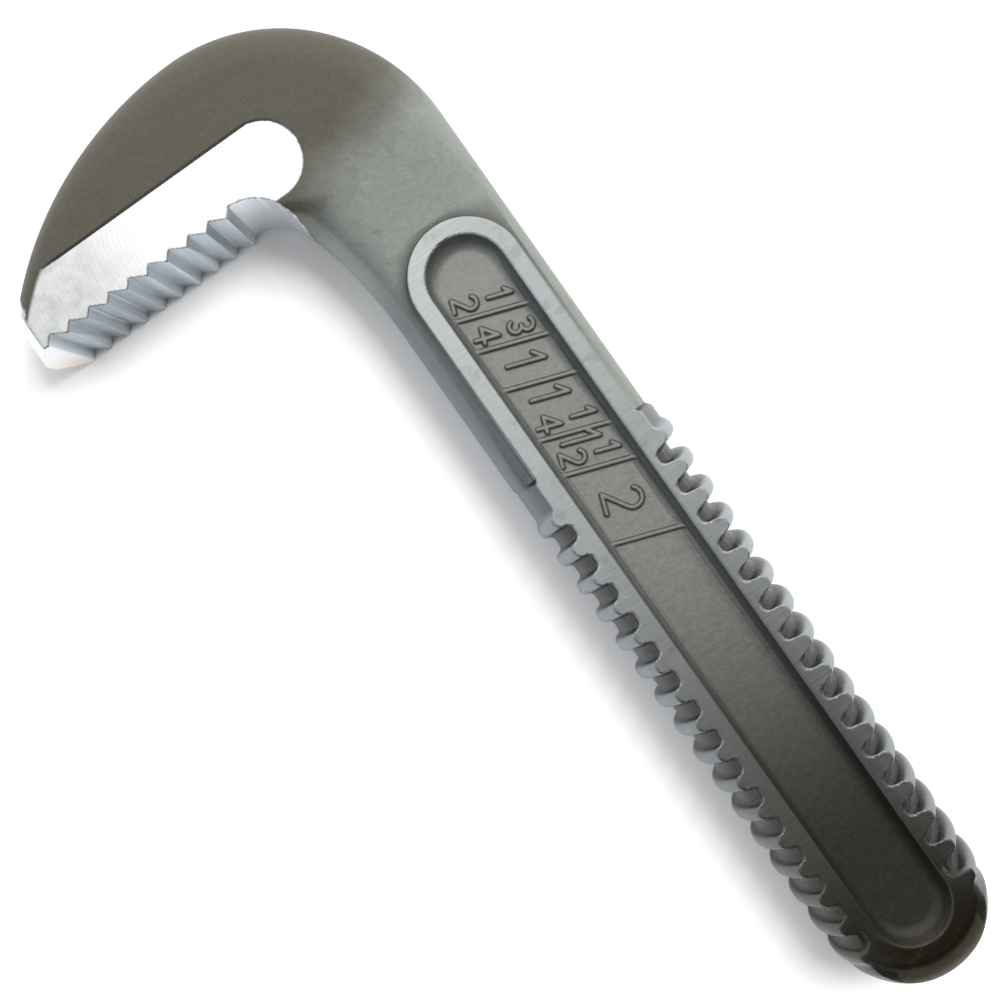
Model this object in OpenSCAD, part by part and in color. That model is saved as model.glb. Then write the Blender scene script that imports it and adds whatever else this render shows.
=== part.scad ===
// Hook jaw of a straight pipe wrench: one drop-forged steel piece.
// The shank lies along +Y with its axis on the Y axis, the tail end is at y = 0,
// the hook is at the far end and reaches to -X, and z = 0 is the parting plane.

/* [Shank] */
// Major diameter of the thread on the two narrow edges
thread_dia = 25.4; // [22:0.1:30]
// Thickness across the two ground faces
shank_t = 15.5; // [13:0.1:17]
// Distance from the shank axis to the plain front edge
neck_front = 12.2; // [11.2:0.1:12.6]
// Distance from the shank axis to the plain back edge
neck_back = 11.2; // [10.4:0.1:12.6]
// Thickness of the forged neck beside the ground rim
neck_t = 14.2; // [12:0.1:14.6]
// Edge rounding around the tail end
tail_edge_r = 5.9; // [3:0.1:7]

/* [Thread] */
// Pitch of the thread, five to the inch
pitch = 5.08; // [4:0.02:6]
// Number of thread grooves on each edge
groove_count = 17; // [10:1:17]
// Place of the first back groove at the parting plane
first_groove = 10.45; // [9:0.05:14]
// Depth of the grooves on the back edge
back_depth = 2.2; // [1.5:0.1:2.6]
// Depth of the grooves on the front edge
front_depth = 1.45; // [0.8:0.05:2]
// Width of a groove at the crest
groove_w = 3; // [2:0.1:3.4]
// Slope of the groove flanks from square, in degrees
flank_angle = 12; // [5:1:20]
// Depth of the first and last groove, where the thread runs out
runout_depth = 0.7; // [0.3:0.1:1.2]
// Length of full diameter past the last groove
runout_land = 0.35; // [0.3:0.05:3]

/* [Pocket] */
// Width of the pocket at the ground face
pocket_w = 12.2; // [10:0.1:12.4]
// Width of the pocket floor
pocket_floor_w = 9.8; // [7:0.1:9.8]
// Depth of the pocket below the ground face
pocket_depth = 2.2; // [1.2:0.1:3]
// Distance from the tail end to the pocket
pocket_start = 7.7; // [7:0.1:14]
// Distance from the tail end to the pocket's far end
pocket_end = 128.8; // [124:0.1:132]
// Width of the ground rim around the pocket
rim_w = 2.5; // [1.5:0.1:3]

/* [Size scale] */
// Place of the two inch line
scale_start = 78; // [60:0.5:80]
// Slant of the lines and figures, in degrees
scale_slant = 19.5; // [0:0.5:25]
// Height of the lines and figures above the floor
mark_h = 0.4; // [0.2:0.05:0.8]
// Width of a line or stroke
mark_w = 0.65; // [0.4:0.05:0.9]
// Height of a whole figure
whole_h = 5.6; // [4:0.1:6]
// Height of a fraction's figure
fraction_h = 3.5; // [2.5:0.1:4]

/* [Hook] */
// Distance from the tail end to the tooth tips
tooth_line = 148.9; // [146:0.1:156]
// Distance from the tooth tips to the top of the hook
hook_h = 25.3; // [22:0.1:30]
// Reach of the hook from the shank axis to the nose
hook_reach = 58.2; // [56:0.1:62]
// Radius of the outer corner over the shank
corner_r = 28.4; // [26:0.1:29]
// Radius of the long arc to the nose
top_r = 51.3; // [48:0.1:60]
// Thickness of the forged hook
hook_t = 16.6; // [16.2:0.1:18]
// Rounding of the forged edges
edge_r = 7.4; // [4:0.1:7.8]
// Width of the bevel at the nose
nose_bevel = 3.3; // [2:0.1:4]
// Thickness left at the nose between its bevels
nose_t = 3; // [2:0.5:6]

/* [Jaw] */
// Thickness across the milled jaw flats
jaw_t = 16; // [15.5:0.1:16.2]
// Width of the milled flat
flat_w = 11.3; // [10:0.1:13]
// Distance from the flat's lower edge up to the tooth tips
flat_drop = 1.85; // [1:0.05:3]
// Distance from the shank axis to the centre of the flat's round end
flat_end = 14.2; // [13:0.1:20]
// Number of teeth
tooth_count = 10; // [6:1:10]
// Spacing of the teeth
tooth_pitch = 3.456; // [3:0.01:3.5]
// Depth of the teeth
tooth_depth = 1.27; // [0.8:0.01:1.6]
// Share of the pitch taken by the steep flank
steep_share = 0.31; // [0.2:0.01:0.5]
// Distance from the nose to the first tooth root
first_root = 5.05; // [4:0.05:8]
// Radius of the scooped relief behind the teeth
relief_r = 7; // [5:0.1:8]
// Radius of the long curve from the neck into the throat
throat_r = 66.4; // [50:1:90]
// Length of the throat curve along the neck, below the tooth tips
throat_len = 25.4; // [20:0.1:30]

/* [Hidden] */
$fn = 96;

steel = [0.36, 0.36, 0.33];
over = 1;                       // how far a cutter runs past what it cuts
thread_r = thread_dia / 2;
lead_angle = atan(pitch / (PI * thread_dia));
thread_end = first_groove + (groove_count - 1) * pitch + groove_w / 2 + runout_land;
groove_arc = 130;               // angle that a groove's ring spans
face_half = sqrt(pow(thread_r, 2) - pow(shank_t / 2, 2));  // half-width of a ground face
rim_r = pocket_w / 2 + rim_w;
pocket_low = pocket_start + pocket_w / 2;
pocket_high = pocket_end - pocket_w / 2;
floor_z = shank_t / 2 - pocket_depth;
hook_top = tooth_line + hook_h;
corner_x = neck_back - corner_r;
corner_y = hook_top - corner_r;
top_y = hook_top - top_r;
throat_y = tooth_line - throat_len;
neck_start = thread_end - 2 * pitch;
ramp_low = pocket_end + rim_w;
ramp_high = tooth_line + 4;
root_x = first_root - hook_reach;
relief_x = root_x + (tooth_count - 1) * tooth_pitch;
relief_y = tooth_line + tooth_depth - relief_r;
throat_turn = asin((relief_y - throat_y) / throat_r);

// Pipe outside diameters of the nominal sizes, and the figures before each line:
// [outside diameter, whole figure, its distance from the line, numerator, denominator]
SIZES = [
    [21.34, 0, 0, 1, 2],
    [26.67, 0, 0, 3, 4],
    [33.40, 1, 3.4, 0, 0],
    [42.16, 1, 6.2, 1, 4],
    [48.26, 1, 4.6, 1, 2],
    [60.33, 2, 6.2, 0, 0]];
fraction_x = 2.45;              // fraction figures' distance from the pocket's centreline
fraction_gap = 2.25;            // fraction figures' distance from their line
bow_end = 1.1;                  // a bow's round end, against its stroke's width

// ---- threaded shank -------------------------------------------------------

// Waste outside a rounded edge: material lies at x < r, and z is up
module edge_waste(r, half_t, round_r) {
    difference() {
        translate([r - round_r, -half_t - over]) square([round_r + over, 2 * (half_t + over)]);
        translate([r - round_r, -half_t + round_r]) square([round_r, 2 * (half_t - round_r)]);
        for (side = [-1, 1])
            translate([r - round_r, side * (half_t - round_r)]) circle(r = round_r);
    }
}

module tail_edge() {
    turn_r = face_half + tail_edge_r;
    translate([0, turn_r, 0])
        rotate([0, 0, 180])
            rotate_extrude(angle = 180) edge_waste(turn_r, shank_t / 2, tail_edge_r);
}

// Round bar with a ball end, flat on both faces
module threaded_blank() {
    difference() {
        intersection() {
            union() {
                translate([0, thread_r, 0]) sphere(r = thread_r);
                translate([0, thread_r, 0])
                    rotate([-90, 0, 0]) cylinder(r = thread_r, h = thread_end - thread_r);
            }
            translate([-thread_dia, -over, -shank_t / 2])
                cube([2 * thread_dia, thread_end + 2 * over, shank_t]);
        }
        tail_edge();
    }
}

// One groove: part of a ring about the shank, tipped by the lead angle
module groove(depth, back) {
    root_r = thread_r - depth;
    root_w = groove_w / 2 - depth * tan(flank_angle);
    outer_w = groove_w / 2 + over * tan(flank_angle);
    tip = back ? lead_angle : -lead_angle;
    rotate([tip - 90, 0, 0])
        rotate([0, 0, (back ? 0 : 180) - groove_arc / 2])
            rotate_extrude(angle = groove_arc)
                polygon([
                    [root_r, -root_w],
                    [thread_r + over, -outer_w],
                    [thread_r + over, outer_w],
                    [root_r, root_w]]);
}

module grooves() {
    for (i = [0 : groove_count - 1]) {
        at_end = i == 0 || i == groove_count - 1;
        y = first_groove + i * pitch;
        translate([0, y, 0]) groove(at_end ? runout_depth : back_depth, true);
        translate([0, y - pitch / 2, 0]) groove(at_end ? runout_depth : front_depth, false);
    }
}

// ---- forged neck and hook -------------------------------------------------

// Neck up to the root of the hook, with the long throat curve
module neck_outline() {
    difference() {
        union() {
            translate([-neck_front, neck_start])
                square([neck_front + neck_back, corner_y - neck_start]);
            translate([corner_x - over, throat_y])
                square([corner_r + over, corner_y - throat_y]);
            translate([corner_x - over, corner_y - over])
                square([2 * over, tooth_line - corner_y + 2 * over]);
        }
        intersection() {
            translate([-neck_front - throat_r, throat_y]) circle(r = throat_r);
            translate([-hook_reach - throat_r, throat_y - throat_r])
                square([hook_reach + throat_r, throat_r + relief_y - throat_y]);
        }
    }
}

module hook_outline() {
    difference() {
        union() {
            neck_outline();
            // quarter disc over the shank
            intersection() {
                translate([corner_x, corner_y]) circle(r = corner_r);
                translate([corner_x, corner_y]) square(corner_r);
            }
            // long arc to the nose
            intersection() {
                translate([corner_x, top_y]) circle(r = top_r);
                translate([-hook_reach, tooth_line]) square([hook_reach + corner_x, hook_h]);
            }
        }
        // relief: the half disc past the last tooth root
        intersection() {
            translate([relief_x, relief_y]) circle(r = relief_r);
            translate([relief_x, relief_y - relief_r]) square([relief_r, 2 * relief_r]);
        }
    }
}

module teeth() {
    steep = steep_share * tooth_pitch;
    for (i = [0 : tooth_count - 1])
        translate([root_x + i * tooth_pitch, tooth_line])
            polygon([
                [-steep, 0],
                [-steep, -over],
                [tooth_pitch - steep, -over],
                [tooth_pitch - steep, 0],
                [0, tooth_depth]]);
}

module forged_edges() {
    half_t = hook_t / 2;
    translate([corner_x, corner_y, 0])
        rotate_extrude(angle = 90) edge_waste(corner_r, half_t, edge_r);
    translate([corner_x, top_y, 0])
        rotate([0, 0, 90])
            rotate_extrude(angle = 60) edge_waste(top_r, half_t, edge_r);
    translate([0, corner_y, 0])
        rotate([90, 0, 0])
            linear_extrude(corner_y - neck_start + over) edge_waste(neck_back, half_t, edge_r);
    translate([0, throat_y, 0])
        rotate([90, 0, 0])
            linear_extrude(throat_y - neck_start + over)
                mirror([1, 0]) edge_waste(neck_front, half_t, edge_r);
    translate([-neck_front - throat_r, throat_y, 0])
        rotate_extrude(angle = throat_turn)
            translate([throat_r, 0]) mirror([1, 0]) edge_waste(0, half_t, edge_r);
}

module nose_bevels() {
    for (side = [0, 1])
        mirror([0, 0, side])
            translate([0, hook_top, 0])
                rotate([90, 0, 0])
                    linear_extrude(hook_h + over)
                        polygon([
                            [-hook_reach, nose_t / 2],
                            [-hook_reach + nose_bevel, hook_t / 2],
                            [-hook_reach + nose_bevel, hook_t / 2 + over],
                            [-hook_reach - over, hook_t / 2 + over],
                            [-hook_reach - over, nose_t / 2]]);
}

// Side view of the forging: thinner neck, then a ramp up to the hook
module thickness_envelope() {
    rotate([90, 0, 90])
        linear_extrude(2 * (hook_reach + corner_r), center = true)
            polygon([
                [neck_start, -neck_t / 2],
                [ramp_low, -neck_t / 2],
                [ramp_high, -hook_t / 2],
                [hook_top + over, -hook_t / 2],
                [hook_top + over, hook_t / 2],
                [ramp_high, hook_t / 2],
                [ramp_low, neck_t / 2],
                [neck_start, neck_t / 2]]);
}

module jaw_flats() {
    flat_y = tooth_line - flat_drop + flat_w / 2;
    for (side = [0, 1])
        mirror([0, 0, side])
            translate([0, 0, jaw_t / 2])
                linear_extrude(hook_t) {
                    translate([-flat_end, flat_y]) circle(d = flat_w);
                    translate([-hook_reach - over, flat_y - flat_w / 2])
                        square([hook_reach + over - flat_end, flat_w]);
                }
}

module forged_hook() {
    difference() {
        intersection() {
            linear_extrude(hook_t, center = true)
                difference() {
                    hook_outline();
                    teeth();
                }
            thickness_envelope();
        }
        forged_edges();
        nose_bevels();
        jaw_flats();
    }
}

// ---- ground rim and pockets -----------------------------------------------

module rim_pad() {
    translate([0, 0, -shank_t / 2])
        linear_extrude(shank_t) {
            translate([0, pocket_high]) circle(r = rim_r);
            translate([-rim_r, thread_end - over])
                square([2 * rim_r, pocket_high - thread_end + over]);
        }
}

// Drafted pocket with round ends, cut down from the ground face
module pocket() {
    wall = (pocket_w - pocket_floor_w) / 2;
    top_w = pocket_w + 2 * wall * over / pocket_depth;
    for (y = [pocket_low, pocket_high])
        translate([0, y, floor_z])
            cylinder(h = pocket_depth + over, r1 = pocket_floor_w / 2, r2 = top_w / 2);
    translate([0, pocket_high, floor_z])
        rotate([90, 0, 0])
            linear_extrude(pocket_high - pocket_low)
                polygon([
                    [-pocket_floor_w / 2, 0],
                    [pocket_floor_w / 2, 0],
                    [top_w / 2, pocket_depth + over],
                    [-top_w / 2, pocket_depth + over]]);
}

// ---- size scale -----------------------------------------------------------

// Straight strokes through the points, with round ends and joints
module strokes(points, w) {
    for (p = points)
        translate(p) circle(d = w);
    for (i = [1 : 1 : len(points) - 1]) {
        d = points[i] - points[i - 1];
        translate(points[i - 1]) rotate(atan2(d[1], d[0])) translate([0, -w / 2]) square([norm(d), w]);
    }
}

// Part of a ring from angle a0, turning by the angle sweep, which is over 180
module bow(c, r, a0, sweep, w) {
    wedge_r = 3 * r;
    gap = 360 - sweep;
    translate(c)
        difference() {
            circle(r = r + w / 2);
            circle(r = r - w / 2);
            rotate(a0 + sweep)
                polygon([
                    [0, 0],
                    [wedge_r, 0],
                    wedge_r * [cos(gap / 2), sin(gap / 2)],
                    wedge_r * [cos(gap), sin(gap)]]);
        }
}

function on_ring(c, r, a) = c + r * [cos(a), sin(a)];

// Figures are drawn upright about their centre, h high
module figure(n, h, w) {
    end_w = bow_end * w;
    if (n == 1)
        strokes([[-0.2 * h, 0.22 * h], [0, h / 2], [0, -h / 2]], w);
    if (n == 2) {
        r = 0.26 * h;
        c = [0, h / 2 - r];
        bow(c, r, -35, 190, w);
        strokes([on_ring(c, r, 155)], end_w);
        strokes([on_ring(c, r, -35)], end_w);
        strokes([on_ring(c, r, -35), [-r, -h / 2], [r, -h / 2]], w);
    }
    if (n == 3) {
        r = 0.25 * h;
        upper = [0, h / 2 - r];
        lower = [0, r - h / 2];
        bow(upper, r, -90, 230, w);
        bow(lower, r, -140, 230, w);
        for (p = [on_ring(upper, r, 140), [0, 0], on_ring(lower, r, -140)])
            strokes([p], end_w);
    }
    if (n == 4)
        strokes([
            [0.14 * h, -h / 2],
            [0.14 * h, h / 2],
            [-0.3 * h, -0.14 * h],
            [0.34 * h, -0.14 * h]], w);
}

// x is across the pocket, gap is along the shank from the size's own line
module placed_figure(n, h, x, y) {
    if (n > 0)
        translate([x, y - x * tan(scale_slant)])
            rotate(-90 - scale_slant)
                figure(n, h, mark_w);
}

module size_scale() {
    line_len = pocket_w / cos(scale_slant);
    largest = SIZES[len(SIZES) - 1][0];
    translate([0, 0, floor_z - mark_h])
        linear_extrude(2 * mark_h)
            for (s = SIZES) {
                y = scale_start + largest - s[0];
                translate([0, y])
                    rotate(-scale_slant)
                        square([line_len - 2 * mark_w, mark_w], center = true);
                placed_figure(s[1], whole_h, 0, y + s[2]);
                placed_figure(s[3], fraction_h, fraction_x, y + fraction_gap);
                placed_figure(s[4], fraction_h, -fraction_x, y + fraction_gap);
            }
}

// ---- the piece ------------------------------------------------------------

module hook_jaw() {
    color(steel)
        union() {
            difference() {
                union() {
                    threaded_blank();
                    forged_hook();
                    rim_pad();
                }
                grooves();
                for (side = [0, 1])
                    mirror([0, 0, side]) pocket();
            }
            size_scale();
        }
}

hook_jaw();
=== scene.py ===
"""Looks of a pipe wrench's hook jaw: one forged piece on a pale floor.

The visible mesh is the zero surface of a distance function in millimetres, in the frame's own
axes: the shank lies along +Y, the hook reaches to -X, and z = 0 is the parting plane.
"""
import math

import bpy
import numpy as np
from mathutils import Matrix, Vector


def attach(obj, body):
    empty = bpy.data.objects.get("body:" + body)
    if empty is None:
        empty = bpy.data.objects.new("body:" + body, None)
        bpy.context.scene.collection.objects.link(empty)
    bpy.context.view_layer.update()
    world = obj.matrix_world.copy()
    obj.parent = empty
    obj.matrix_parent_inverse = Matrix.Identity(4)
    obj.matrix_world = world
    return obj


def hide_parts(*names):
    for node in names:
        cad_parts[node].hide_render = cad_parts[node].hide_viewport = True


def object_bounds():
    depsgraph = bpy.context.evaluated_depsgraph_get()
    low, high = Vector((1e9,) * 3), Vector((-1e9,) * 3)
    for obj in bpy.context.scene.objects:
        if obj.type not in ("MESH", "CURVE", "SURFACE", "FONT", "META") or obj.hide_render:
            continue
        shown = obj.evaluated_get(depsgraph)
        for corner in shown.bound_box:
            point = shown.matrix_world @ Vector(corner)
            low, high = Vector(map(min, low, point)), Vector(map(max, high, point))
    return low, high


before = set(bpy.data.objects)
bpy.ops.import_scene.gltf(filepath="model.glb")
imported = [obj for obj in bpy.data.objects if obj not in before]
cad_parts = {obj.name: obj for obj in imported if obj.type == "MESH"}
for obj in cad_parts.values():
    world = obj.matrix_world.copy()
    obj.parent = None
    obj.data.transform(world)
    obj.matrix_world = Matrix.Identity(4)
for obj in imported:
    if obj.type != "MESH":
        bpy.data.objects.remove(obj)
cad_low, cad_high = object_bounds()

MM = 0.001

# ---- sizes, in millimetres --------------------------------------------------
# threaded shank
THREAD_R = 12.7  # outside radius of the thread
PITCH = 5.08  # five threads to the inch
FIRST_GROOVE = 10.45  # y of the first groove on the back edge
LAST_GROOVE = 16  # number of the last groove, counted from 0
BACK_DEPTH = 2.2  # groove depth on the back edge
FRONT_DEPTH = 1.45  # groove depth on the front edge
RUNOUT_DEPTH = 0.7  # depth of the first and the last groove
GROOVE_W = 3.0  # groove width at the outside
FLANK = math.radians(12)  # slope of a groove's sides
ROOT_FILLET = 0.7
CREST_ROUND = 0.75
THREAD_END = 93.4
END_ROUND = 0.4
GROOVE_OVERRUN = 0.3  # how far the last groove runs past the thread's end
GROOVE_INNER = 8.7  # x where the grooves stop under the neck
SHANK_HALF = 7.75  # half the thickness over the ground faces
FACE_ROUND = 0.15
TAIL_EDGE = 5.9  # rounding of the tail's rim

# neck, and the rim and pocket on its faces
NECK_FRONT = 12.2
NECK_BACK = 11.2
NECK_HALF = 7.1
NECK_ROUND = 1.2
RIM_HALF = 8.6
RIM_ROUND = 0.25
RIM_FILLET = 0.55
BAR_FILLET = 0.5
GROOVE_EDGE = 0.12
POCKET_HALF = 6.1  # half the pocket's width at its mouth
FLOOR_HALF = 4.9  # and at its floor
FLOOR_Z = 5.55
POCKET_LOW = 13.8
POCKET_HIGH = 122.7
POCKET_FILLET = 0.9
POCKET_EDGE = 0.2

# size scale on the near floor
SCALE_START = 78.0
SCALE_LOW = 70.0
SCALE_HIGH = 128.0
SLANT = math.radians(19.5)
MARK_H = 0.4
MARK_W = 0.65
MARK_ROUND = 0.22

# hook
TOOTH_LINE = 148.9
HOOK_TOP = 174.2
HOOK_REACH = 58.2
CORNER_R = 28.4
TOP_R = 51.3
HOOK_HALF = 8.3
EDGE_R = 7.4  # rounding of the forged outer edge
EDGE_LOSS = 3.2  # how much smaller that rounding is at the nose
THIN_START = -24.0
THIN_LENGTH = 32.0
RAMP_START = 131.3  # where the neck begins to thicken into the hook
RAMP_LENGTH = 21.6
FRONT_R = 8.4  # rounding of the neck's front edge, which fades out at the relief
FRONT_SOFT = 1.6
FADE_START = 142.0
FADE_LENGTH = 8.0
FADE_SHIFT = 3.0
JAW_HALF = 8.0
FLAT_R = 5.65
FLAT_END = -14.2
FLAT_Y = 152.7
FLAT_ROUND = 0.25
TOOTH_PITCH = 3.456
TOOTH_DEPTH = 1.27
STEEP = 1.07  # run of a tooth's steep side
ROOT_X = -53.15
LAST_ROOT = 9
RELIEF_R = 7.0
RELIEF_LIP = 3.0
THROAT_R = 66.4
THROAT_Y = 123.5
NOSE_BEVEL = 3.3
NOSE_HALF = 1.5
NOSE_ROUND = 0.3
FORGING_LAP = 6.0  # how far the forging reaches into the thread
RIM_LAP = 4.0

CORNER_X = NECK_BACK - CORNER_R
CORNER_Y = HOOK_TOP - CORNER_R
TOP_Y = HOOK_TOP - TOP_R
RELIEF_X = ROOT_X + LAST_ROOT * TOOTH_PITCH
RELIEF_Y = TOOTH_LINE + TOOTH_DEPTH - RELIEF_R
THROAT_X = -NECK_FRONT - THROAT_R

# nominal pipe sizes: outside diameter, whole figure, its distance from the line, fraction
SIZES = [
    (21.34, 0, 0, 1, 2),
    (26.67, 0, 0, 3, 4),
    (33.40, 1, 3.4, 0, 0),
    (42.16, 1, 6.2, 1, 4),
    (48.26, 1, 4.6, 1, 2),
    (60.33, 2, 6.2, 0, 0),
]
WHOLE_H = 5.6
FRACTION_H = 3.5
FRACTION_X = 2.45
FRACTION_GAP = 2.25

# mesh: a grid just outside the piece
GRID_LOW = (-59.0, -0.8, -9.1)
GRID_HIGH = (13.6, 175.0, 9.1)
FINE_STEP = 0.25
FINE_SHARE = 0.7  # share of the step used over the pocket and the scale
SLAB = 24  # grid layers worked out at a time
MOST_TRIANGLES = 190_000
CREASE = math.cos(math.radians(32))
LEVEL = 0.998  # a face this close to level keeps its own normal
PASSES = 3  # how often the vertices are drawn onto the surface
PULL = 0.15  # the most that one pass moves a vertex
SLOPE_REACH = 0.02  # offset for the slope of the distance
NORMAL_REACH = 0.07  # and for the normals, which evens out small steps
SKIN = 0.12  # what is this close to a surface counts as on it
FAR = 10.0
SHARP = 0.001  # a rounding that leaves the edge sharp

# stage
FLOOR_REACH = 3.0
LENS = 36.36
SENSOR = 36
CAMERA_AT = (-12.18, 95.25, 150.77)
CAMERA_RIGHT = (0.81732516, -0.57610372, -0.0091698)
CAMERA_UP = (0.57595906, 0.81735035, -0.01447639)
# the sky's brightness by height along +Y
SKY_STOPS = (
    (-0.62, 0.03),
    (-0.42, 0.08),
    (-0.25, 0.32),
    (-0.05, 0.74),
    (0.12, 1.05),
    (0.4, 1.30),
)


# ---- distance functions -----------------------------------------------------
def round_and(a, b, r):
    """Both: the edge where the two surfaces meet is rounded with radius r."""
    corner = np.sqrt(np.maximum(a + r, 0) ** 2 + np.maximum(b + r, 0) ** 2)
    return np.minimum(np.maximum(a, b), -r) + corner


def round_or(a, b, r):
    """Either: the inner corner where the two meet is filled with radius r."""
    corner = np.sqrt(np.maximum(r - a, 0) ** 2 + np.maximum(r - b, 0) ** 2)
    return np.maximum(np.minimum(a, b), r) - corner


def cut(a, tool, r):
    return round_and(a, -tool, r)


def ease(t):
    """0 to 1 with a smooth start and end."""
    t = np.clip(t, 0, 1)
    return t * t * (3 - 2 * t)


def segment(x, y, ax, ay, bx, by):
    """Distance to a straight stroke's centre line."""
    dx, dy = bx - ax, by - ay
    t = np.clip(((x - ax) * dx + (y - ay) * dy) / (dx * dx + dy * dy + 1e-12), 0, 1)
    return np.hypot(x - ax - t * dx, y - ay - t * dy)


def bow(x, y, cx, cy, r, start, sweep):
    """Distance to an arc from angle start, turning by sweep degrees."""
    angle = np.degrees(np.arctan2(y - cy, x - cx))
    inside = (angle - start) % 360 <= sweep
    ring = np.abs(np.hypot(x - cx, y - cy) - r)
    ends = [math.radians(start), math.radians(start + sweep)]
    tips = [np.hypot(x - cx - r * math.cos(a), y - cy - r * math.sin(a)) for a in ends]
    return np.where(inside, ring, np.minimum(*tips))


def figure(n, x, y, h):
    """Distance to the centre line of a figure, h high, drawn upright about its centre."""
    if n == 1:
        return np.minimum(
            segment(x, y, -0.2 * h, 0.22 * h, 0, h / 2), segment(x, y, 0, h / 2, 0, -h / 2)
        )
    if n == 2:
        r = 0.26 * h
        lean = math.radians(-35)
        neck = (r * math.cos(lean), h / 2 - r + r * math.sin(lean))
        d = bow(x, y, 0, h / 2 - r, r, -35, 190)
        d = np.minimum(d, segment(x, y, *neck, -r, -h / 2))
        return np.minimum(d, segment(x, y, -r, -h / 2, r, -h / 2))
    if n == 3:
        r = 0.25 * h
        return np.minimum(
            bow(x, y, 0, h / 2 - r, r, -90, 230), bow(x, y, 0, r - h / 2, r, -140, 230)
        )
    d = segment(x, y, 0.14 * h, -h / 2, 0.14 * h, h / 2)
    d = np.minimum(d, segment(x, y, 0.14 * h, h / 2, -0.3 * h, -0.14 * h))
    return np.minimum(d, segment(x, y, -0.3 * h, -0.14 * h, 0.34 * h, -0.14 * h))


def figure_on_floor(n, x, y, h, at_x, at_y):
    """The figure turned to read along the slanted lines."""
    turn = math.radians(-90) - SLANT
    px, py = x - at_x, y - (at_y - at_x * math.tan(SLANT))
    return figure(
        n,
        px * math.cos(turn) + py * math.sin(turn),
        py * math.cos(turn) - px * math.sin(turn),
        h,
    )


def marks(x, y):
    """Distance to the edge of the nearest line or figure of the size scale."""
    d = np.full_like(x, 10.0)
    half_line = POCKET_HALF / math.cos(SLANT) - MARK_W
    for od, whole, whole_gap, top, bottom in SIZES:
        line_y = SCALE_START + SIZES[-1][0] - od
        ex, ey = half_line * math.cos(SLANT), -half_line * math.sin(SLANT)
        d = np.minimum(d, segment(x, y, -ex, line_y - ey, ex, line_y + ey))
        if whole:
            d = np.minimum(d, figure_on_floor(whole, x, y, WHOLE_H, 0, line_y + whole_gap))
        if top:
            gap = line_y + FRACTION_GAP
            d = np.minimum(d, figure_on_floor(top, x, y, FRACTION_H, FRACTION_X, gap))
            d = np.minimum(d, figure_on_floor(bottom, x, y, FRACTION_H, -FRACTION_X, gap))
    return d - MARK_W / 2


def thread_cut(x, y, z):
    """The helical groove, right hand, shallow at both ends."""
    angle = np.arctan2(z, x)
    angle = np.where((x < 0) & (angle < 0), angle + 2 * math.pi, angle)
    along = y - FIRST_GROOVE + PITCH * angle / (2 * math.pi)
    index = np.clip(np.round(along / PITCH), 0, LAST_GROOVE)
    ends = (index == 0) | (index == LAST_GROOVE)
    depth = np.where(ends, RUNOUT_DEPTH, np.where(x > 0, BACK_DEPTH, FRONT_DEPTH))
    rho = np.hypot(x, z)
    t = np.abs(along - index * PITCH)
    t = np.where((index == LAST_GROOVE) & (along > LAST_GROOVE * PITCH), 0, t)
    flank = (t - GROOVE_W / 2 + (THREAD_R - rho) * math.tan(FLANK)) * math.cos(FLANK)
    return round_and(flank, THREAD_R - depth - rho, ROOT_FILLET)


def shank(x, y, z):
    """The threaded bar with its round tail and ground faces; also its grooves and radius."""
    az = np.abs(z)
    rho = np.hypot(x, z)
    body = np.sqrt(x**2 + (np.minimum(y - THREAD_R, 0)) ** 2 + z**2) - THREAD_R
    face_half = math.sqrt(THREAD_R**2 - SHANK_HALF**2)
    turn_r = face_half + TAIL_EDGE
    plan = np.hypot(x, np.minimum(y - turn_r, 0)) - turn_r
    bevel = round_and(plan, az - SHANK_HALF, TAIL_EDGE)
    body = np.where(y < turn_r, np.maximum(body, bevel), body)
    body = round_and(body, y - THREAD_END, END_ROUND)
    grooves = np.maximum(thread_cut(x, y, z), y - THREAD_END - GROOVE_OVERRUN)
    body = round_and(cut(body, grooves, CREST_ROUND), az - SHANK_HALF, FACE_ROUND)
    return body, grooves, rho


def front_side(x, y):
    """Distance out from the neck's front edge and the throat above it."""
    throat = np.hypot(x - THROAT_X, y - THROAT_Y) - THROAT_R
    return np.where(y > THROAT_Y, throat, x + NECK_FRONT)


def void_below(x, y):
    """Space on the inner side of the hook: teeth, relief, throat and front of the neck."""
    under = y - TOOTH_LINE
    i = np.clip(np.floor((x - ROOT_X + STEEP) / TOOTH_PITCH), 0, LAST_ROOT)
    qx, qy = x - (ROOT_X + i * TOOTH_PITCH), y - TOOTH_LINE - TOOTH_DEPTH
    gentle = TOOTH_PITCH - STEEP
    steep_n = math.hypot(TOOTH_DEPTH, STEEP)
    gentle_n = math.hypot(TOOTH_DEPTH, gentle)
    steep_side = (-TOOTH_DEPTH * qx + STEEP * qy) / steep_n
    gentle_side = (TOOTH_DEPTH * qx + gentle * qy) / gentle_n
    notch = np.maximum(steep_side, gentle_side)
    teeth = np.minimum(under, notch)
    relief = np.hypot(x - RELIEF_X, y - RELIEF_Y) - RELIEF_R
    right = np.where(y > RELIEF_Y, relief, front_side(x, y))
    lip = (y > RELIEF_Y - RELIEF_LIP) & (y <= RELIEF_Y)
    right = np.where(lip, np.minimum(right, relief), right)
    void = np.where((x < RELIEF_X) & (y > RELIEF_Y), teeth, right)
    return void, relief


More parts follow.
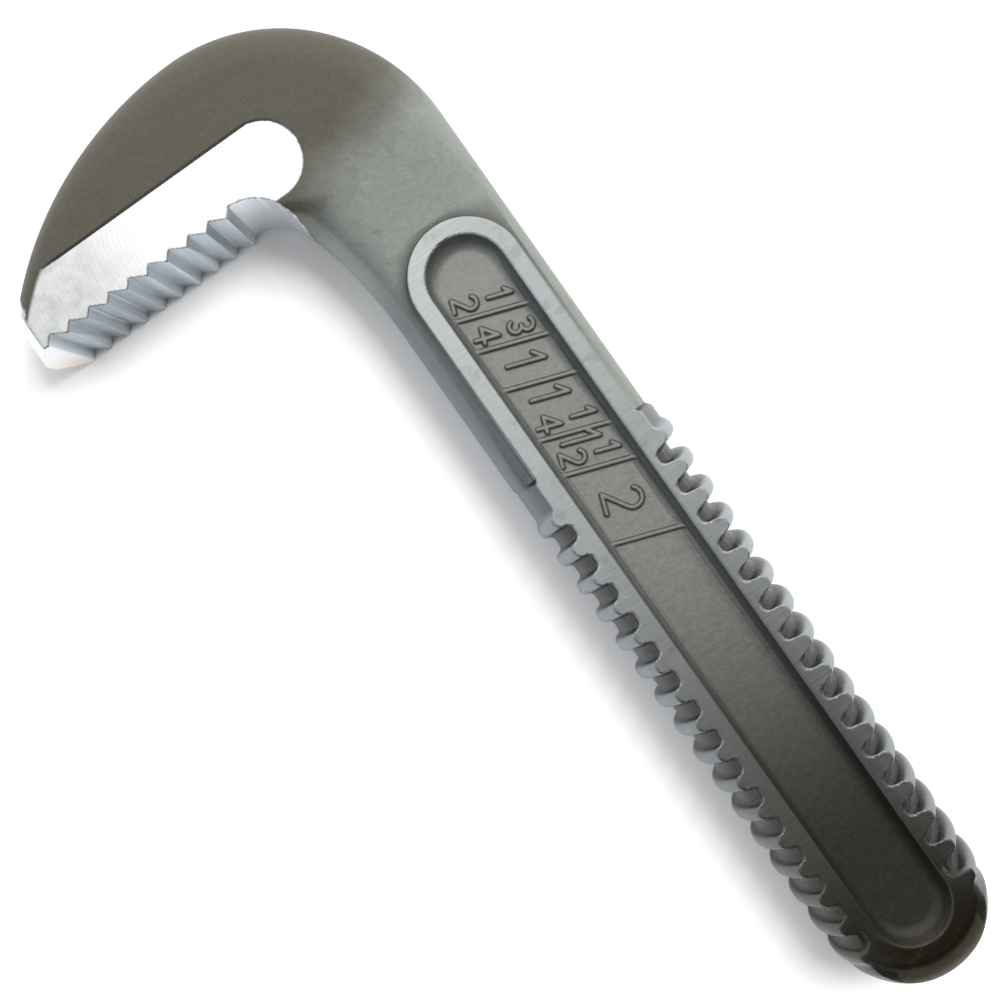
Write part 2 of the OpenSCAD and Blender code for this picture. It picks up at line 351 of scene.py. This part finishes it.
def forging(x, y, z):
    """Neck and hook; also the distances to the jaw flat's outline and to the relief."""
    az = np.abs(z)
    c1 = np.hypot(x - CORNER_X, y - CORNER_Y) - CORNER_R
    c2 = np.hypot(x - CORNER_X, y - TOP_Y) - TOP_R
    outer = np.where(x > CORNER_X, np.where(y > CORNER_Y, c1, x - NECK_BACK), c2)
    ramp = ease((y - RAMP_START) / RAMP_LENGTH)
    half = NECK_HALF + (HOOK_HALF - NECK_HALF) * ramp
    void, relief = void_below(x, y)
    # the outer edge is rounded less towards the nose
    thin = np.clip((THIN_START - x) / THIN_LENGTH, 0, 1)
    body = round_and(outer, az - HOOK_HALF, EDGE_R - EDGE_LOSS * thin * thin)
    # the front edge is rounded along the neck and throat, fading out under the hook
    fade = ease((y - FADE_START) / FADE_LENGTH)
    front_r = FRONT_R * (1 - fade) + SHARP
    front = -front_side(x, y) - FADE_SHIFT * fade
    front = round_and(front, az - half - FRONT_SOFT, front_r)
    front = np.where((x > RELIEF_X) & (fade < 1), front, -FAR)
    body = round_and(body, az - half, NECK_ROUND * (1 - ramp) + SHARP)
    body = round_and(body, front, FRONT_SOFT)
    body = np.maximum(body, -void)
    rise = HOOK_HALF - NOSE_HALF
    nose = (-HOOK_REACH - x) * rise + (az - NOSE_HALF) * NOSE_BEVEL
    body = round_and(body, nose / math.hypot(rise, NOSE_BEVEL), NOSE_ROUND)
    body = round_and(body, -HOOK_REACH - x, NOSE_ROUND)
    stadium = np.hypot(np.maximum(x - FLAT_END, 0), y - FLAT_Y) - FLAT_R
    body = cut(body, np.maximum(stadium, JAW_HALF - az), FLAT_ROUND)
    return np.maximum(body, THREAD_END - FORGING_LAP - y), stadium, relief


def raised_marks(x, y, z, reach):
    """The scale's lines and figures, which stand on the near floor."""
    mark = np.full_like(x, FAR)
    zone = (z > 0) & (reach < POCKET_HALF + 1) & (y > SCALE_LOW) & (y < SCALE_HIGH)
    if zone.any():
        mark[zone] = marks(x[zone], y[zone])
    raised = round_and(mark, z - FLOOR_Z - MARK_H, MARK_ROUND)
    return np.maximum(raised, FLOOR_Z - 1 - z)


def whole(x, y, z):
    """Distance to the piece's surface, negative inside, with what the looks need to know."""
    az = np.abs(z)
    bar, grooves, rho = shank(x, y, z)
    hook, stadium, relief = forging(x, y, z)
    oval = np.hypot(x, np.maximum(y - POCKET_HIGH, 0)) - RIM_HALF
    rim = np.maximum(oval, THREAD_END - RIM_LAP - y)
    rim = round_and(rim, az - SHANK_HALF, RIM_ROUND)
    body = round_or(round_or(hook, rim, RIM_FILLET), bar, BAR_FILLET)
    body = np.where(y < POCKET_HIGH, np.maximum(body, az - SHANK_HALF), body)
    body = cut(body, np.maximum(grooves, GROOVE_INNER - np.abs(x)), GROOVE_EDGE)
    reach = np.hypot(x, y - np.clip(y, POCKET_LOW, POCKET_HIGH))
    draft = math.atan2(POCKET_HALF - FLOOR_HALF, SHANK_HALF - FLOOR_Z)
    wall = (reach - FLOOR_HALF - (az - FLOOR_Z) * math.tan(draft)) * math.cos(draft)
    body = cut(body, round_and(wall, FLOOR_Z - az, POCKET_FILLET), POCKET_EDGE)
    raised = raised_marks(x, y, z, reach)
    body = np.where(z > 0, round_or(body, raised, MARK_ROUND), body)
    return body, {
        "oval": oval,
        "reach": reach,
        "stadium": stadium,
        "relief": relief,
        "rho": rho,
    }


# ---- meshing ----------------------------------------------------------------
def ruled(low, high, step, fine_low=0.0, fine_high=0.0):
    """Grid lines from low to high, closer together between the fine limits."""
    parts = [
        np.arange(low, fine_low, step),
        np.arange(fine_low, fine_high, step * FINE_SHARE),
        np.arange(fine_high, high + step, step),
    ]
    return np.concatenate(parts)


def solid_mesh(step):
    """Surface nets on a grid, then each vertex is drawn onto the exact surface."""
    axes = [
        ruled(GRID_LOW[0], GRID_HIGH[0], step, -POCKET_HALF, POCKET_HALF),
        ruled(GRID_LOW[1], GRID_HIGH[1], step, SCALE_START - 2, POCKET_HIGH),
        ruled(GRID_LOW[2], GRID_HIGH[2], step),
    ]
    field = sample(axes)
    place, number = cell_points(field)
    columns = [np.interp(place[:, k], np.arange(len(axes[k])), axes[k]) for k in range(3)]
    verts = np.stack(columns, 1)
    for _ in range(PASSES):
        d, g = gradient(verts)
        pull = d / np.maximum((g * g).sum(1), 0.25)
        verts = verts - np.clip(pull, -PULL, PULL)[:, None] * g
    return verts, net(field < 0, number)


def sample(axes):
    """The distance at every grid point, a slab at a time."""
    field = np.empty([len(a) for a in axes], np.float32)
    for start in range(0, len(axes[0]), SLAB):
        xs = axes[0][start : start + SLAB]
        grid = np.meshgrid(xs, axes[1], axes[2], indexing="ij")
        flat = [g.ravel() for g in grid]
        field[start : start + SLAB] = whole(*flat)[0].reshape(grid[0].shape)
    return field


def cell_points(field):
    """A point in each cell that the surface crosses, and each cell's number."""
    n = np.array(field.shape)
    inside = field < 0
    total = np.zeros(n - 1, np.uint8)
    for dx in (0, 1):
        for dy in (0, 1):
            for dz in (0, 1):
                total += inside[dx : n[0] - 1 + dx, dy : n[1] - 1 + dy, dz : n[2] - 1 + dz]
    where = np.argwhere((total > 0) & (total < 8))
    number = np.full(n - 1, -1, np.int64)
    number[tuple(where.T)] = np.arange(len(where))
    # a point is the mean of its cell's edge crossings
    sums = np.zeros((len(where), 3))
    count = np.zeros(len(where))
    corners = [(a, b, c) for a in (0, 1) for b in (0, 1) for c in (0, 1)]
    for p in corners:
        for k in range(3):
            if p[k]:
                continue
            q = list(p)
            q[k] = 1
            fp = field[tuple((where + p).T)]
            fq = field[tuple((where + q).T)]
            cross = (fp < 0) != (fq < 0)
            t = fp[cross] / (fp[cross] - fq[cross])
            point = np.tile(np.array(p, float), (cross.sum(), 1))
            point[:, k] += t
            sums[cross] += point
            count[cross] += 1
    return where + sums / count[:, None], number


def net(inside, number):
    """A quad round each grid edge that the surface crosses."""
    n = inside.shape
    quads = []
    for k in range(3):
        a, b = (k + 1) % 3, (k + 2) % 3
        sl = [slice(1, n[0] - 1), slice(1, n[1] - 1), slice(1, n[2] - 1)]
        sl[k] = slice(0, n[k] - 1)
        up = list(sl)
        up[k] = slice(1, n[k])
        here, there = inside[tuple(sl)], inside[tuple(up)]
        for sign in (True, False):
            at = np.argwhere((here != there) & (here == sign)) + [s.start for s in sl]
            ring = []
            for da, db in ((-1, -1), (0, -1), (0, 0), (-1, 0)):
                cell = at.copy()
                cell[:, a] += da
                cell[:, b] += db
                ring.append(number[tuple(cell.T)])
            quad = np.stack(ring, 1)
            quads.append(quad if sign else quad[:, ::-1])
    return np.concatenate(quads)


def gradient(p, e=SLOPE_REACH):
    """Distance and its slope at points p, from four offsets."""
    offsets = np.array([[1, 1, 1], [1, -1, -1], [-1, 1, -1], [-1, -1, 1]], float)
    g = np.zeros_like(p)
    d = np.zeros(len(p))
    for o in offsets:
        v = whole(*(p + e * o).T)[0]
        g += v[:, None] * o / (4 * e)
        d += v / 4
    return d, g


def read(items, name, width, kind=float):
    """One property of all items as an array."""
    values = np.empty(width * len(items), kind)
    items.foreach_get(name, values)
    return values.reshape(-1, width) if width > 1 else values


def build_piece():
    """The hook jaw's visible mesh, thinned to what the export keeps."""
    verts, faces = solid_mesh(FINE_STEP)
    mesh = bpy.data.meshes.new("hook_jaw_visual")
    mesh.from_pydata((verts * MM).tolist(), [], faces.tolist())
    mesh.validate()
    piece = bpy.data.objects.new("hook_jaw_visual", mesh)
    bpy.context.collection.objects.link(piece)
    triangles = 2 * len(faces)
    if triangles > MOST_TRIANGLES:
        thin = piece.modifiers.new("thin", "DECIMATE")
        thin.ratio = MOST_TRIANGLES / triangles
        apply_modifier(piece, "thin")
    set_normals(piece.data)
    return piece


def set_normals(mesh):
    """Exact normals on smooth surfaces, the faces' own at edges and on level faces."""
    mesh.shade_smooth()
    co = read(mesh.vertices, "co", 3)
    g = gradient(co / MM, NORMAL_REACH)[1]
    g /= np.maximum(np.linalg.norm(g, axis=1), 1e-6)[:, None]
    corner = read(mesh.loops, "vertex_index", 1, np.int32)
    sides = read(mesh.polygons, "loop_total", 1, np.int32)
    flat_n = np.repeat(read(mesh.polygons, "normal", 3), sides, axis=0)
    height = np.abs(co[corner, 2]) / MM
    level = np.minimum(np.abs(height - JAW_HALF), np.abs(height - SHANK_HALF)) < 0.02
    level &= np.abs(flat_n[:, 2]) > LEVEL
    smooth = ((g[corner] * flat_n).sum(1) > CREASE) & ~level
    normals = np.where(smooth[:, None], g[corner], flat_n)
    mesh.normals_split_custom_set(normals.tolist())


def apply_modifier(piece, name):
    bpy.context.view_layer.objects.active = piece
    piece.select_set(True)
    bpy.ops.object.modifier_apply(modifier=name)
    piece.select_set(False)


def band(value, edge, width):
    """1 where value is well under edge, 0 above it."""
    return np.clip((edge - value) / width + 0.5, 0, 1)


def paint_regions(piece):
    """Stores at each vertex how the surface there was made, and masks for painted shade."""
    mesh = piece.data
    p = read(mesh.vertices, "co", 3) / MM
    x, y, z = p.T
    az = np.abs(z)
    f = whole(x, y, z)[1]
    g = gradient(p)[1]
    nz = np.abs(g[:, 2]) / np.maximum(np.linalg.norm(g, axis=1), 1e-6)
    level = band(-az, -SHANK_HALF + SKIN, 0.1)
    rim = band(f["oval"], 0.1, 0.2) * level * band(y, 132, 1)
    shank_face = level * band(y, THREAD_END - 0.1, 0.3)
    ground = np.maximum(rim, shank_face) * (f["reach"] > POCKET_HALF - 0.5)
    flat = band(f["stadium"], 0.05, 0.1) * band(-az, -JAW_HALF + 0.06, 0.06) * (y > 140)
    milled = np.where((x < RELIEF_X) & (y < TOOTH_LINE + 1.5), 1.0, 0.0)
    scooped = (x >= RELIEF_X) & (np.abs(f["relief"]) < SKIN) & (y > RELIEF_Y - 1)
    milled = np.where(scooped, 1.0, milled) * (nz < 0.6)
    nose = (x < 4 - HOOK_REACH) & (y < 158) & (nz < 0.95)
    milled = np.where(nose, 1.0, milled)
    reach_out = f["reach"] - POCKET_HALF - 0.2
    pocket = (reach_out < 0) & (az < SHANK_HALF - 0.1) & (y < 130)
    # mask for the painted shade on the pocket's walls, full from just above the floor's
    # fillet
    wall = pocket * np.clip((az - FLOOR_Z - 0.45) / 1.1, 0, 1)
    thread = (y < THREAD_END + 0.5) & (np.abs(x) > 7.0) & (az < SHANK_HALF - 0.1)
    # painted shade: a dark band in the hollow just outside the rim, fading away from it
    cove_shade = band(f["oval"], 1.0, 1.5) * band(-y, -THREAD_END - 4, 4)
    cove_shade = cove_shade * (ground == 0) * (reach_out > 0)
    # painted shadow round each raised mark, darkest just outside its edge
    mark_shadow = np.zeros_like(x)
    zone = pocket & (z > 0) & (y > SCALE_LOW + 2)
    mark_shadow[zone] = np.exp(-(((marks(x[zone], y[zone]) - 0.03) / 0.17) ** 2))
    # mask for painted shade that deepens into the thread's grooves
    root = thread * np.clip((THREAD_R - f["rho"] - 0.15) / 1.0, 0, 1)
    for name, value in (
        ("ground", ground),
        ("flat", flat),
        ("milled", milled),
        ("floor", pocket),
        ("wall", wall),
        ("thread", thread),
        ("cove_shade", cove_shade),
        ("root", root),
        ("mark_shadow", mark_shadow),
    ):
        layer = mesh.attributes.new(name, "FLOAT", "POINT")
        layer.data.foreach_set("value", np.asarray(value, np.float32))


# ---- material ---------------------------------------------------------------
class Shade:
    """Small helpers for one material's nodes. Lengths in the textures are millimetres."""

    def __init__(self, name):
        self.material = bpy.data.materials.new(name)
        self.material.use_nodes = True
        self.tree = self.material.node_tree
        self.bsdf = self.tree.nodes["Principled BSDF"]
        place = self.tree.nodes.new("ShaderNodeTexCoord")
        scale = self.tree.nodes.new("ShaderNodeVectorMath")
        scale.operation = "SCALE"
        scale.inputs["Scale"].default_value = 1 / MM
        self.link(place.outputs["Object"], scale.inputs[0])
        self.mm = scale.outputs[0]

    def link(self, a, b):
        self.tree.links.new(a, b)

    def put(self, socket, value):
        if isinstance(value, bpy.types.NodeSocket):
            self.link(value, socket)
        else:
            socket.default_value = value

    def region(self, name):
        """A value that paint_regions stored on the mesh."""
        node = self.tree.nodes.new("ShaderNodeAttribute")
        node.attribute_name = name
        return node.outputs["Fac"]

    def math(self, operation, a, b):
        node = self.tree.nodes.new("ShaderNodeMath")
        node.operation = operation
        self.put(node.inputs[0], a)
        self.put(node.inputs[1], b)
        return node.outputs[0]

    def add(self, a, b):
        return self.math("ADD", a, b)

    def times(self, a, b):
        return self.math("MULTIPLY", a, b)

    def either(self, a, b):
        return self.math("MAXIMUM", a, b)

    def axis(self, k):
        """Place along x, y or z, in millimetres."""
        node = self.tree.nodes.new("ShaderNodeSeparateXYZ")
        self.link(self.mm, node.inputs[0])
        return node.outputs[k]

    def span(self, value, low, high, out_low=0.0, out_high=1.0):
        """Eases from out_low to out_high as the value goes from low to high."""
        node = self.tree.nodes.new("ShaderNodeMapRange")
        node.interpolation_type = "SMOOTHSTEP"
        for i, v in enumerate((value, low, high, out_low, out_high)):
            self.put(node.inputs[i], v)
        return node.outputs[0]

    def stretched(self, turn, scale):
        """Texture places turned about z by degrees, then scaled."""
        node = self.tree.nodes.new("ShaderNodeMapping")
        node.inputs["Rotation"].default_value = (0, 0, math.radians(turn))
        node.inputs["Scale"].default_value = scale
        self.link(self.mm, node.inputs["Vector"])
        return node.outputs[0]

    def noise(self, size, detail=3.0, roughness=0.55, vector=None):
        """Soft noise about 0.5, with features of the given size."""
        node = self.tree.nodes.new("ShaderNodeTexNoise")
        node.inputs["Scale"].default_value = 1 / size
        node.inputs["Detail"].default_value = detail
        node.inputs["Roughness"].default_value = roughness
        self.link(vector or self.mm, node.inputs["Vector"])
        return node.outputs["Fac"]

    def flecks(self, size, share):
        """Small round spots, over about the given share of the cells' radius."""
        node = self.tree.nodes.new("ShaderNodeTexVoronoi")
        node.inputs["Scale"].default_value = 1 / size
        self.link(self.mm, node.inputs["Vector"])
        return self.span(node.outputs["Distance"], share, share * 0.4)

    def mix(self, factor, a, b):
        node = self.tree.nodes.new("ShaderNodeMix")
        node.data_type = "RGBA"
        self.put(node.inputs["Factor"], factor)
        self.put(node.inputs["A"], a)
        self.put(node.inputs["B"], b)
        return node.outputs["Result"]

    def blend(self, factor, a, b):
        node = self.tree.nodes.new("ShaderNodeMix")
        self.put(node.inputs["Factor"], factor)
        self.put(node.inputs["A"], a)
        self.put(node.inputs["B"], b)
        return node.outputs["Result"]

    def bump(self, height, depth):
        """Bump of the given depth, in millimetres."""
        node = self.tree.nodes.new("ShaderNodeBump")
        node.inputs["Strength"].default_value = 1.0
        node.inputs["Distance"].default_value = depth * MM
        self.put(node.inputs["Height"], height)
        return node.outputs["Normal"]


def grey(value):
    return (value, value, value, 1)


def forged_colour(s, x, y, grain):
    """Forging scale: olive brown on the hook, lighter and greener on the neck, with painted
    shade browning the tail.
    """
    patches = s.noise(9, 4)
    along = s.math("SUBTRACT", y, s.times(x, 0.35))
    along = s.add(along, s.times(s.math("SUBTRACT", patches, 0.5), 9))
    hook = s.mix(grain, (0.085, 0.078, 0.058, 1), (0.150, 0.141, 0.110, 1))
    neck = s.mix(grain, (0.200, 0.220, 0.196, 1), (0.380, 0.402, 0.372, 1))
    forged = s.mix(s.span(along, 142, 154), neck, hook)
    rust = s.span(s.noise(5.5, 5, 0.7), 0.60, 0.78)
    forged = s.mix(s.times(rust, 0.35), forged, (0.150, 0.100, 0.070, 1))
    spots = s.times(s.flecks(0.75, 0.2), s.span(s.noise(2.5, 3), 0.47, 0.62, 0.0, 0.14))
    forged = s.mix(spots, forged, grey(0.55))
    # painted shade and a bluish painted reflection make the neck's rounded front edge darker
    # and bluer
    front = s.span(s.add(x, s.times(y, 0.04)), -4.2, -6.4)
    shaded = s.times(front, s.span(y, 134, 122))
    forged = s.mix(s.times(shaded, 0.7), forged, (0.125, 0.150, 0.180, 1))
    # painted shade in the cove just outside the rim
    forged = s.mix(s.times(s.region("cove_shade"), 0.75), forged, (0.060, 0.058, 0.048, 1))
    # painted shade: the fall-off of reflected light towards the tail, painted as dark brown
    tail = s.mix(grain, (0.066, 0.055, 0.038, 1), (0.125, 0.103, 0.072, 1))
    forged = s.mix(s.span(y, 22, 12), forged, tail)
    # painted reflection: a tan glow from the pale backdrop on the lower side of the tail's
    # end
    tan = s.times(s.span(s.axis(2), 3.4, 1.8, 0.0, 0.85), s.span(y, 13, 7))
    return s.mix(tan, forged, (0.62, 0.48, 0.32, 1))


def ground_colour(s, x, y, lines):
    """Ground faces: long scratches across the shank; painted shade browns them towards the
    tail and greys the back side.
    """
    polish = s.mix(lines, (0.38, 0.41, 0.415, 1), (0.72, 0.76, 0.765, 1))
    # painted shade: reflected light falls off towards the tail, less on the outer strip of
    # the back edge
    ground_shade = s.times(s.span(y, 92, 12), s.span(x, 6.8, 8.6, 0.85, 0.45))
    polish = s.mix(ground_shade, polish, (0.20, 0.185, 0.15, 1))
    # painted reflection: the back half reflects less light, so it is painted greyer
    back_side = s.times(s.span(x, -5, 5), 0.25)
    polish = s.mix(back_side, polish, (0.34, 0.36, 0.365, 1))
    # painted shade, deepest near the tail's end and browner at its front corner
    polish = s.mix(s.span(y, 30, 15, 0.0, 0.6), polish, (0.100, 0.088, 0.064, 1))
    brown_end = s.times(s.span(y, 15, 7), s.span(x, -9, -6))
    polish = s.mix(brown_end, polish, (0.105, 0.082, 0.055, 1))
    blot = s.span(s.noise(3.2, 4, 0.7), 0.52, 0.70)
    return s.mix(s.times(blot, 0.35), polish, (0.26, 0.27, 0.25, 1))


def cutter_arcs(s):
    """The marks that a cutter left on the jaw flat, as rings about a point on it."""
    arcs = s.tree.nodes.new("ShaderNodeTexWave")
    arcs.wave_type = "RINGS"
    arcs.rings_direction = "SPHERICAL"
    arcs.inputs["Scale"].default_value = 0.42
    arcs.inputs["Distortion"].default_value = 2.2
    arcs.inputs["Detail"].default_value = 4
    centre = s.tree.nodes.new("ShaderNodeVectorMath")
    centre.operation = "SUBTRACT"
    centre.inputs[1].default_value = (FLAT_END - 9, FLAT_Y - 2, JAW_HALF)
    s.link(s.mm, centre.inputs[0])
    s.link(centre.outputs[0], arcs.inputs["Vector"])
    return arcs.outputs["Fac"]


def flat_colour(s, x, cutter):
    """Milled jaw flat: pale, duller and blotched towards the nose."""
    dull = s.span(s.noise(3, 4, 0.65), 0.35, 0.70, 0.5, 1.0)
    dull = s.times(dull, s.span(x, -32, -48))
    return s.mix(dull, s.mix(cutter, grey(0.91), grey(0.97)), (0.60, 0.605, 0.585, 1))


def tooth_colour(s, x):
    """Teeth: blue grey with a painted reflection lightening them towards the relief, lighter
    on the nose, and a tan painted reflection at the tip.
    """
    across = s.noise(0.5, 3, 0.6, s.stretched(0, (1, 1, 0.08)))
    toothed = s.mix(across, (0.30, 0.345, 0.38, 1), (0.50, 0.55, 0.59, 1))
    # painted reflection of the pale floor, lightening the teeth towards the relief and the
    # relief most
    toothed = s.mix(s.span(x, -48, -27, 0.0, 0.75), toothed, (0.60, 0.67, 0.72, 1))
    toothed = s.mix(s.span(x, -24, -21.5), toothed, (0.90, 0.95, 0.99, 1))
    toothed = s.mix(s.span(x, -53, -54.5), toothed, (0.80, 0.83, 0.85, 1))
    # painted reflection: a tan glow from the pale backdrop on the lower half of the nose's
    # tip
    tip = s.times(s.span(x, -53.8, -55.4), s.span(s.axis(2), 3, -4))
    return s.mix(s.times(tip, 0.75), toothed, (0.86, 0.70, 0.52, 1))


def pocket_colour(s, y, grain):
    """Pocket: cast grey, with painted shade darkening it towards the tail, on its walls and
    round the figures.
    """
    # painted shade: the fall-off of reflected light towards the tail, painted as dark brown
    pocket_shade = s.mix(grain, (0.036, 0.033, 0.026, 1), (0.066, 0.062, 0.050, 1))
    pit = s.mix(grain, (0.22, 0.225, 0.205, 1), (0.36, 0.365, 0.34, 1))
    pit = s.mix(s.span(y, 82, 22), pit, pocket_shade)
    # painted shade on the pocket's walls
    wall_shade = s.mix(grain, (0.120, 0.126, 0.130, 1), (0.20, 0.208, 0.212, 1))
    wall_shade = s.mix(s.span(y, 90, 25), wall_shade, pocket_shade)
    # painted shadow round the raised marks
    pit = s.mix(s.times(s.region("mark_shadow"), 0.72), pit, (0.050, 0.050, 0.045, 1))
    return s.mix(s.region("wall"), pit, wall_shade)


def thread_colour(s, x, y, grain):
    """Thread: grey crests with a painted highlight on the back edge and painted shade towards
    the tail, over roots painted nearly black as shade.
    """
    screw = s.mix(grain, (0.17, 0.19, 0.20, 1), (0.28, 0.305, 0.32, 1))
    # painted highlight on the beads of the back edge
    screw = s.mix(s.span(x, 4, 9, 0.0, 0.4), screw, (0.42, 0.46, 0.48, 1))
    # painted shade: reflected light falls off towards the tail, most on the front edge
    thread_shade = s.times(s.span(y, 70, 8), s.span(x, -5, 5, 0.95, 0.5))
    screw = s.mix(thread_shade, screw, (0.080, 0.075, 0.062, 1))
    # painted shade in the groove roots
    return s.mix(s.times(s.region("root"), 0.95), screw, (0.034, 0.034, 0.030, 1))


def steel_material():
    """Dark forging scale, with ground, milled and threaded faces by region."""
    s = Shade("forged_steel")
    x, y = s.axis(0), s.axis(1)
    ground, flat, milled = s.region("ground"), s.region("flat"), s.region("milled")
    floor, thread = s.region("floor"), s.region("thread")
    grain = s.noise(0.9, 4, 0.65)
    lines = s.noise(1, 5, 0.75, s.stretched(52, (0.16, 2.6, 1)))
    cutter = cutter_arcs(s)

    colour = s.mix(thread, forged_colour(s, x, y, grain), thread_colour(s, x, y, grain))
    colour = s.mix(floor, colour, pocket_colour(s, y, grain))
    colour = s.mix(ground, colour, ground_colour(s, x, y, lines))
    colour = s.mix(milled, colour, tooth_colour(s, x))
    colour = s.mix(flat, colour, flat_colour(s, x, cutter))
    s.link(colour, s.bsdf.inputs["Base Color"])

    rough = s.blend(grain, 0.42, 0.62)
    rough = s.blend(thread, rough, 0.36)
    rough = s.blend(floor, rough, s.blend(grain, 0.40, 0.55))
    rough = s.blend(ground, rough, s.blend(lines, 0.26, 0.42))
    rough = s.blend(milled, rough, 0.34)
    rough = s.blend(flat, rough, 0.30)
    s.link(rough, s.bsdf.inputs["Roughness"])

    bare = s.either(s.either(ground, flat), milled)
    s.link(s.blend(bare, 0.75, 1.0), s.bsdf.inputs["Metallic"])

    # relief: pitted scale, fine grain, and shallow marks on the cut faces
    fine = s.noise(0.35, 2, 0.6)
    pits = s.add(s.times(s.noise(2.2, 4, 0.6), 1.6), s.times(fine, 0.45))
    cast = s.times(pits, s.blend(bare, 1.0, 0.0))
    scratches = s.times(lines, s.times(ground, 0.22))
    arcs = s.times(cutter, s.times(flat, 0.06))
    height = s.add(s.add(cast, scratches), arcs)
    s.link(s.bump(height, 0.07), s.bsdf.inputs["Normal"])
    return s.material


# ---- stage ------------------------------------------------------------------
def floor_material():
    s = Shade("pale_floor")
    s.link(s.mix(s.noise(220, 2), grey(0.86), grey(0.88)), s.bsdf.inputs["Base Color"])
    s.bsdf.inputs["Roughness"].default_value = 0.9
    s.bsdf.inputs["Specular IOR Level"].default_value = 0.1
    return s.material


def lay_floor(height):
    signs = ((-1, -1), (1, -1), (1, 1), (-1, 1))
    corners = [(a * FLOOR_REACH, b * FLOOR_REACH, height) for a, b in signs]
    mesh = bpy.data.meshes.new("floor")
    mesh.from_pydata(corners, [], [(0, 1, 2, 3)])
    plane = bpy.data.objects.new("floor", mesh)
    bpy.context.collection.objects.link(plane)
    mesh.materials.append(floor_material())


def mixed(tree, a, b, factor, blend_type="MIX"):
    """A colour mix node's result; each input is a socket or a value."""
    node = tree.nodes.new("ShaderNodeMix")
    node.data_type = "RGBA"
    node.blend_type = blend_type
    for name, value in (("A", a), ("B", b), ("Factor", factor)):
        if isinstance(value, bpy.types.NodeSocket):
            tree.links.new(value, node.inputs[name])
        else:
            node.inputs[name].default_value = value
    return node.outputs["Result"]


def light_sky():
    """A pale dome, bright past the hook, dim past the tail and bluer on the front side."""
    world = bpy.data.worlds.new("sky")
    bpy.context.scene.world = world
    world.use_nodes = True
    tree = world.node_tree
    place = tree.nodes.new("ShaderNodeTexCoord")
    split = tree.nodes.new("ShaderNodeSeparateXYZ")
    tree.links.new(place.outputs["Generated"], split.inputs[0])
    shift = tree.nodes.new("ShaderNodeMath")
    shift.operation = "MULTIPLY_ADD"
    shift.inputs[1].default_value = 0.5
    shift.inputs[2].default_value = 0.5
    tree.links.new(split.outputs[1], shift.inputs[0])
    ramp = tree.nodes.new("ShaderNodeValToRGB")
    tree.links.new(shift.outputs[0], ramp.inputs[0])
    while len(ramp.color_ramp.elements) < len(SKY_STOPS):
        ramp.color_ramp.elements.new(0.5)
    for element, (toward, value) in zip(ramp.color_ramp.elements, SKY_STOPS):
        element.position = 0.5 + 0.5 * toward
        element.color = (value, value, value * 1.01, 1)
    side = tree.nodes.new("ShaderNodeMapRange")
    for i, v in enumerate((-0.75, -0.05, 0.0, 1.0)):
        side.inputs[i + 1].default_value = v
    tree.links.new(split.outputs[0], side.inputs[0])
    tint = mixed(tree, (0.34, 0.40, 0.47, 1), (1.04, 1.03, 1.01, 1), side.outputs[0])
    sky = mixed(tree, ramp.outputs[0], tint, 1.0, "MULTIPLY")
    tree.links.new(sky, tree.nodes["Background"].inputs["Color"])
    tree.nodes["Background"].inputs["Strength"].default_value = 1.0


def soft_box(name, size, energy, centre, offset):
    """A square lamp aimed at the piece, left out of its reflections."""
    data = bpy.data.lights.new(name, "AREA")
    data.shape = "SQUARE"
    data.size = size
    data.energy = energy
    lamp = bpy.data.objects.new(name, data)
    bpy.context.collection.objects.link(lamp)
    lamp.visible_glossy = False
    lamp.location = centre + Vector(offset)
    lamp.rotation_euler = (lamp.location - centre).to_track_quat("Z", "Y").to_euler()


def place_camera():
    """Straight above the flat side, turned so that the shank runs to the lower right."""
    data = bpy.data.cameras.new("camera")
    data.sensor_width = SENSOR
    data.lens = LENS
    camera = bpy.data.objects.new("camera", data)
    bpy.context.collection.objects.link(camera)
    right, up = Vector(CAMERA_RIGHT), Vector(CAMERA_UP)
    turn = Matrix((right, up, right.cross(up))).transposed().to_4x4()
    camera.matrix_world = Matrix.Translation(Vector(CAMERA_AT) * MM) @ turn
    bpy.context.scene.camera = camera


def main():
    place_camera()
    piece = build_piece()
    paint_regions(piece)
    piece.data.materials.append(steel_material())
    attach(piece, "root")
    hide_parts("hook_jaw")
    lay_floor(cad_low.z)
    light_sky()
    centre = (cad_low + cad_high) / 2
    # the key throws the short shadow to the front, and the weak fill keeps it pale
    soft_box("key", 0.45, 8.5, centre, (0.48, 0.12, 0.80))
    soft_box("fill", 0.6, 2.2, centre, (-0.45, -0.30, 0.75))


main()
scene = bpy.context.scene
scene.view_settings.view_transform = "Standard"
